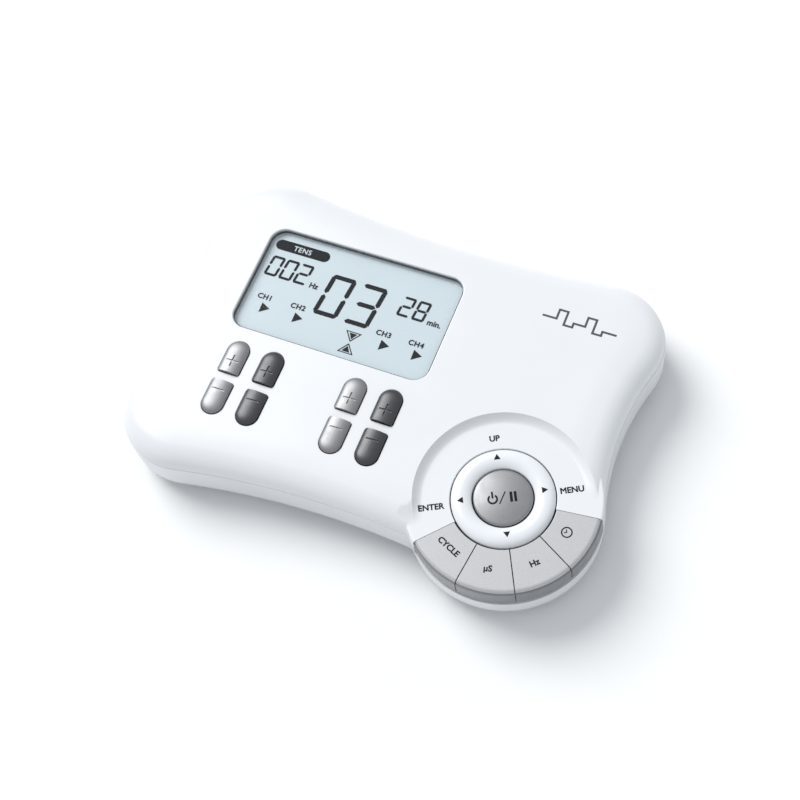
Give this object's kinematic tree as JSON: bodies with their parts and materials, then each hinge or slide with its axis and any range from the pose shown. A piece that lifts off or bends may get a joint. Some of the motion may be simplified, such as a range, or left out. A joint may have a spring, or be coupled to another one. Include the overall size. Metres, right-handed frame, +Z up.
{
  "type": "tens unit",
  "caption": "Handheld nerve stimulator with a hollow-sided white case, LCD window, pairs of channel keys, a round rocker pad with power key, and function keys around it.",
  "frame": {"origin": "middle of the footprint, on the surface that the feet stand on", "axes": "+X along the long side, +Y away from the user, +Z up out of the display face"},
  "size_m": [0.1698, 0.1222, 0.0259],
  "materials": {
    "white_shell": "satin gloss",
    "grey_shell": "fine texture",
    "clear_window": "polished",
    "display": "satin",
    "diffuser": "frosted",
    "circuit_board": "solder mask",
    "silicone": "matte",
    "black_plastic": "matte",
    "transformer": "lacquered",
    "steel": "bright",
    "rubber_foot": "matte",
    "silver_key": "metallic satin",
    "dark_key": "metallic satin",
    "grey_key": "metallic grain",
    "battery_sleeve": "gloss wrap"
  },
  "bodies": {
    "housing": {"upper_housing": "white_shell", "lower_housing": "grey_shell", "lcd_window": "clear_window", "lcd_frame": "black_plastic", "lcd_panel": "display", "backlight": "diffuser", "main_board": "circuit_board", "keypad_mat": "silicone", "function_key_mat": "silicone", "power_switch": "black_plastic", "controller_chip": "black_plastic", "buzzer": "black_plastic", "output_socket_1": "black_plastic", "output_socket_2": "black_plastic", "output_socket_3": "black_plastic", "output_socket_4": "black_plastic", "output_transformer_1": "transformer", "output_transformer_2": "transformer", "output_transformer_3": "transformer", "output_transformer_4": "transformer", "battery_cell_1": "battery_sleeve", "battery_spring_1": "steel", "battery_contact_1": "steel", "battery_cell_2": "battery_sleeve", "battery_spring_2": "steel", "battery_contact_2": "steel", "battery_cell_3": "battery_sleeve", "battery_spring_3": "steel", "battery_contact_3": "steel", "case_screw_1": "steel", "case_screw_2": "steel", "case_screw_3": "steel", "case_screw_4": "steel", "rubber_foot_1": "rubber_foot", "rubber_foot_2": "rubber_foot", "rubber_foot_3": "rubber_foot", "rubber_foot_4": "rubber_foot"},
    "battery_door": {"battery_door": "grey_shell"},
    "channel_1_plus_key": {"channel_1_plus_key": "silver_key"},
    "channel_1_minus_key": {"channel_1_minus_key": "silver_key"},
    "channel_2_plus_key": {"channel_2_plus_key": "dark_key"},
    "channel_2_minus_key": {"channel_2_minus_key": "dark_key"},
    "channel_3_plus_key": {"channel_3_plus_key": "silver_key"},
    "channel_3_minus_key": {"channel_3_minus_key": "silver_key"},
    "channel_4_plus_key": {"channel_4_plus_key": "dark_key"},
    "channel_4_minus_key": {"channel_4_minus_key": "dark_key"},
    "power_key": {"power_key": "silver_key"},
    "navigation_tilt": {"navigation_switch_pad": "silicone"},
    "navigation_ring": {"navigation_ring": "white_shell"},
    "cycle_key": {"cycle_key": "grey_key"},
    "pulse_width_key": {"pulse_width_key": "grey_key"},
    "frequency_key": {"frequency_key": "grey_key"},
    "timer_key": {"timer_key": "grey_key"}
  },
  "joints": [
    {"name": "battery_door_slide", "type": "slide", "parent": "housing", "child": "battery_door", "axis": [0, 1, 0], "range_m": [0, 0.05]},
    {"name": "channel_1_plus_key_press", "type": "slide", "parent": "housing", "child": "channel_1_plus_key", "axis": [0, 0, -1], "range_m": [0, 0.0008], "stiffness_N_per_m": 1000},
    {"name": "channel_1_minus_key_press", "type": "slide", "parent": "housing", "child": "channel_1_minus_key", "axis": [0, 0, -1], "range_m": [0, 0.0008], "stiffness_N_per_m": 1000},
    {"name": "channel_2_plus_key_press", "type": "slide", "parent": "housing", "child": "channel_2_plus_key", "axis": [0, 0, -1], "range_m": [0, 0.0008], "stiffness_N_per_m": 1000},
    {"name": "channel_2_minus_key_press", "type": "slide", "parent": "housing", "child": "channel_2_minus_key", "axis": [0, 0, -1], "range_m": [0, 0.0008], "stiffness_N_per_m": 1000},
    {"name": "channel_3_plus_key_press", "type": "slide", "parent": "housing", "child": "channel_3_plus_key", "axis": [0, 0, -1], "range_m": [0, 0.0008], "stiffness_N_per_m": 1000},
    {"name": "channel_3_minus_key_press", "type": "slide", "parent": "housing", "child": "channel_3_minus_key", "axis": [0, 0, -1], "range_m": [0, 0.0008], "stiffness_N_per_m": 1000},
    {"name": "channel_4_plus_key_press", "type": "slide", "parent": "housing", "child": "channel_4_plus_key", "axis": [0, 0, -1], "range_m": [0, 0.0008], "stiffness_N_per_m": 1000},
    {"name": "channel_4_minus_key_press", "type": "slide", "parent": "housing", "child": "channel_4_minus_key", "axis": [0, 0, -1], "range_m": [0, 0.0008], "stiffness_N_per_m": 1000},
    {"name": "power_key_press", "type": "slide", "parent": "housing", "child": "power_key", "axis": [0, 0, -1], "range_m": [0, 0.0008], "stiffness_N_per_m": 1200},
    {"name": "cycle_key_press", "type": "slide", "parent": "housing", "child": "cycle_key", "axis": [0, 0, -1], "range_m": [0, 0.0006], "stiffness_N_per_m": 1500},
    {"name": "pulse_width_key_press", "type": "slide", "parent": "housing", "child": "pulse_width_key", "axis": [0, 0, -1], "range_m": [0, 0.0006], "stiffness_N_per_m": 1500},
    {"name": "frequency_key_press", "type": "slide", "parent": "housing", "child": "frequency_key", "axis": [0, 0, -1], "range_m": [0, 0.0006], "stiffness_N_per_m": 1500},
    {"name": "timer_key_press", "type": "slide", "parent": "housing", "child": "timer_key", "axis": [0, 0, -1], "range_m": [0, 0.0006], "stiffness_N_per_m": 1500},
    {"name": "navigation_up_down", "type": "hinge", "parent": "housing", "child": "navigation_tilt", "pos_m": [0.0526, -0.0288, 0.0204], "axis": [0.891, 0.454, 0], "range_deg": [-2.5, 2.5], "stiffness_Nm_per_rad": 0.6},
    {"name": "navigation_left_right", "type": "hinge", "parent": "navigation_tilt", "child": "navigation_ring", "pos_m": [0.0526, -0.0288, 0.0204], "axis": [-0.454, 0.891, 0], "range_deg": [-2.5, 2.5], "stiffness_Nm_per_rad": 0.6}
  ]
}
